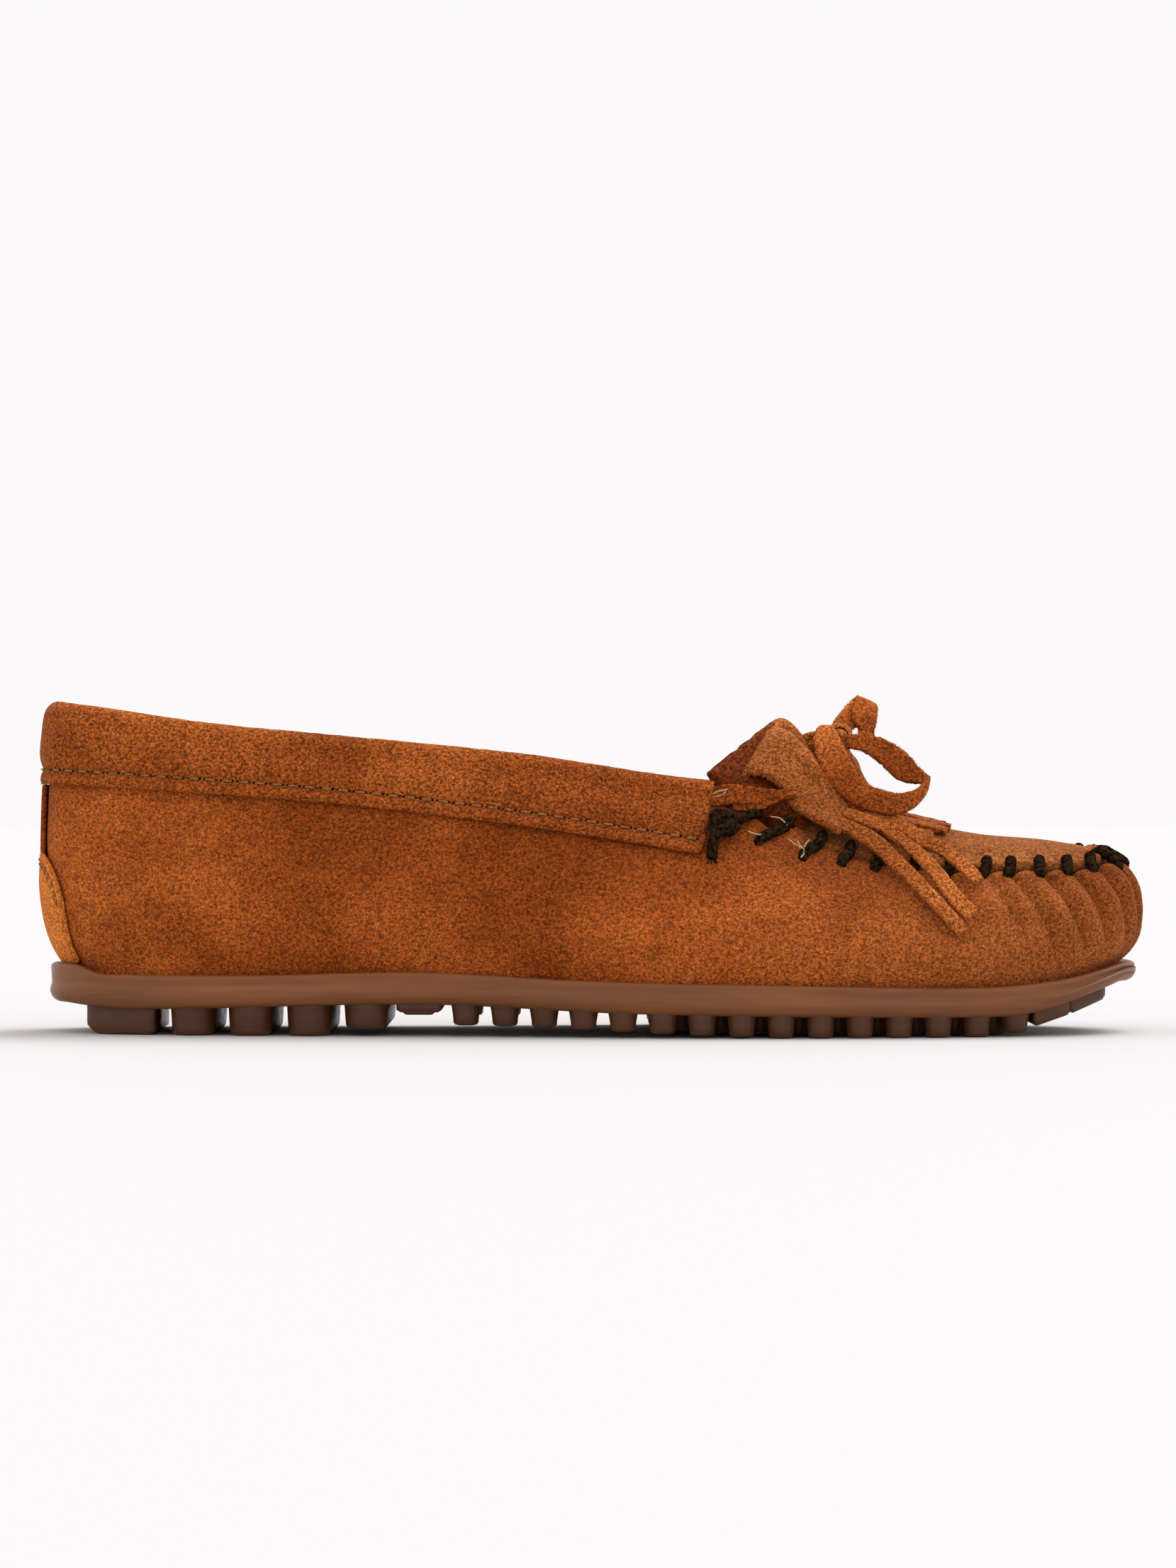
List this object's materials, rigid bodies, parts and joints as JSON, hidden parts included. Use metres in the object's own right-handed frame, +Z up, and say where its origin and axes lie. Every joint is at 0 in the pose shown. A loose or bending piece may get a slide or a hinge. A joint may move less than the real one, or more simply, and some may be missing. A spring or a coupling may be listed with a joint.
{
  "type": "moccasin shoe",
  "caption": "Low suede moccasin with fringed flap, thong bow, whip-stitched toe seam, folded collar and a knobbed moulded rubber sole.",
  "frame": {"origin": "on the ground under the middle of the shoe's length and width", "axes": "+X to the toe, +Y to the inner side of a right shoe, +Z up"},
  "size_m": [0.2622, 0.0849, 0.0796],
  "materials": {
    "sole_rubber": "moulded, satin brown",
    "board": "fibre board",
    "foam": "open foam",
    "liner": "smooth leather",
    "counter": "stiffened fibre",
    "lining": "unfinished leather",
    "suede": "suede nap",
    "pale_suede": "lighter suede nap",
    "tan_thread": "spun thread",
    "lace": "rolled thong",
    "cord": "waxed braid"
  },
  "bodies": {
    "shoe": {"outsole": "sole_rubber", "insole_board": "board", "footbed": "foam", "sock_liner": "liner", "heel_counter": "counter", "quarter_lining": "lining", "upper": "suede", "plug": "suede", "collar": "suede", "back_stay": "suede", "heel_patch": "pale_suede", "heel_patch_stitching": "tan_thread", "collar_stitching": "tan_thread", "collar_lace": "lace", "outer_lace_end": "suede", "inner_lace_end": "suede", "seam_cord": "cord", "outer_cord_knot": "cord", "inner_cord_knot": "cord"},
    "tongue": {"tongue": "suede"},
    "kiltie": {"kiltie": "suede", "bow_knot": "suede", "outer_lace_tail": "suede", "inner_lace_tail": "suede"},
    "outer_loop": {"outer_bow_loop": "suede"},
    "inner_loop": {"inner_bow_loop": "suede"}
  },
  "joints": [
    {"name": "kiltie_lift", "type": "hinge", "parent": "shoe", "child": "kiltie", "pos_m": [0.0448, 0, 0.073], "axis": [0, -1, 0], "range_deg": [0, 35]},
    {"name": "tongue_tilt", "type": "hinge", "parent": "shoe", "child": "tongue", "pos_m": [0.0485, 0, 0.0525], "axis": [0, -1, 0], "range_deg": [0, 7], "stiffness_Nm_per_rad": 0.03},
    {"name": "outer_loop_flop", "type": "hinge", "parent": "kiltie", "child": "outer_loop", "pos_m": [0.06, -0.0058, 0.0698], "axis": [-1, 0, 0], "range_deg": [0, 40]},
    {"name": "inner_loop_flop", "type": "hinge", "parent": "kiltie", "child": "inner_loop", "pos_m": [0.0605, 0.0052, 0.0704], "axis": [1, 0, 0], "range_deg": [0, 35]}
  ]
}
